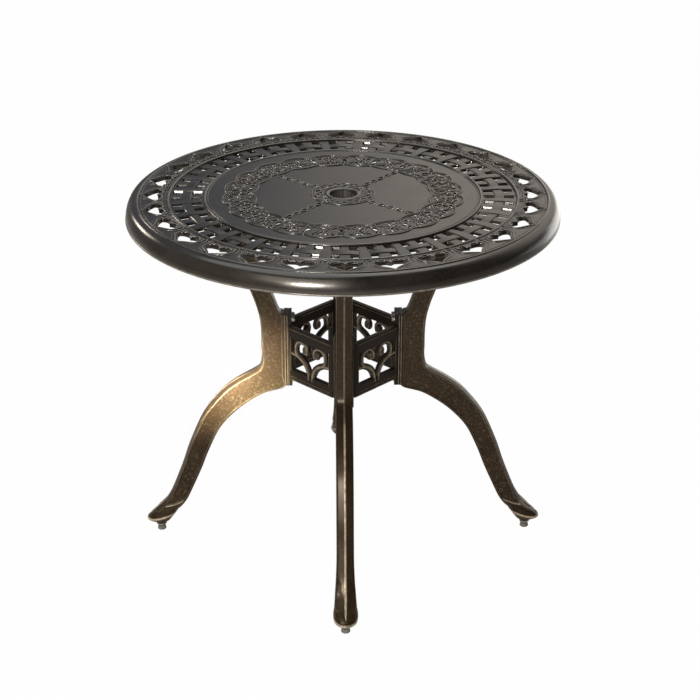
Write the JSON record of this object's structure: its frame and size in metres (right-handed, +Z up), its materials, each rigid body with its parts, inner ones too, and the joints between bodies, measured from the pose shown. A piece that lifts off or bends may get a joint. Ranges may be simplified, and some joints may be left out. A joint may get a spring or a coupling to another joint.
{
  "type": "umbrella table",
  "caption": "Round cast aluminium patio table with a pierced top, a central umbrella hole, cabriole legs, scroll panels between them and screw levelling feet.",
  "frame": {"origin": "on the floor, on the axis of the umbrella hole", "axes": "+Z up; the four legs point along -Y (front), +X (right), +Y (back) and -X (left)"},
  "size_m": [0.7999, 0.8, 0.715],
  "materials": {
    "top_bronze": "dark bronze powder coat, satin",
    "leg_bronze": "antique bronze powder coat, hammered fields dusted with gold",
    "panel_bronze": "very dark bronze powder coat with gold edges",
    "zinc_steel": "zinc plated steel",
    "foot_plastic": "grey-green moulded nylon"
  },
  "bodies": {
    "root": {"tabletop": "top_bronze", "leg_right": "leg_bronze", "leg_back": "leg_bronze", "leg_left": "leg_bronze", "leg_front": "leg_bronze", "panel_back_right": "panel_bronze", "panel_back_left": "panel_bronze", "panel_front_left": "panel_bronze", "panel_front_right": "panel_bronze", "panel_bolts": "zinc_steel", "panel_washers": "zinc_steel", "top_bolts": "zinc_steel", "top_washers": "zinc_steel", "foot_inserts": "zinc_steel"},
    "pad_right": {"foot_pad_right": "foot_plastic"},
    "stud_right": {"foot_stud_right": "zinc_steel"},
    "pad_back": {"foot_pad_back": "foot_plastic"},
    "stud_back": {"foot_stud_back": "zinc_steel"},
    "pad_left": {"foot_pad_left": "foot_plastic"},
    "stud_left": {"foot_stud_left": "zinc_steel"},
    "pad_front": {"foot_pad_front": "foot_plastic"},
    "stud_front": {"foot_stud_front": "zinc_steel"}
  },
  "joints": [
    {"name": "level_right", "type": "slide", "parent": "root", "child": "pad_right", "axis": [0, 0, -1], "range_m": [0, 0.00802]},
    {"name": "screw_right", "type": "hinge", "parent": "pad_right", "child": "stud_right", "pos_m": [0.366, 0, 0.02], "axis": [0, 0, -1], "range_deg": [0, 2304]},
    {"name": "level_back", "type": "slide", "parent": "root", "child": "pad_back", "axis": [0, 0, -1], "range_m": [0, 0.00802]},
    {"name": "screw_back", "type": "hinge", "parent": "pad_back", "child": "stud_back", "pos_m": [0, 0.366, 0.02], "axis": [0, 0, -1], "range_deg": [0, 2304]},
    {"name": "level_left", "type": "slide", "parent": "root", "child": "pad_left", "axis": [0, 0, -1], "range_m": [0, 0.00802]},
    {"name": "screw_left", "type": "hinge", "parent": "pad_left", "child": "stud_left", "pos_m": [-0.366, 0, 0.02], "axis": [0, 0, -1], "range_deg": [0, 2304]},
    {"name": "level_front", "type": "slide", "parent": "root", "child": "pad_front", "axis": [0, 0, -1], "range_m": [0, 0.00802]},
    {"name": "screw_front", "type": "hinge", "parent": "pad_front", "child": "stud_front", "pos_m": [0, -0.366, 0.02], "axis": [0, 0, -1], "range_deg": [0, 2304]}
  ],
  "couplings": [
    {"joint": "level_right", "follows": "screw_right", "m_per_rad": 0.00019894},
    {"joint": "level_back", "follows": "screw_back", "m_per_rad": 0.00019894},
    {"joint": "level_left", "follows": "screw_left", "m_per_rad": 0.00019894},
    {"joint": "level_front", "follows": "screw_front", "m_per_rad": 0.00019894}
  ]
}
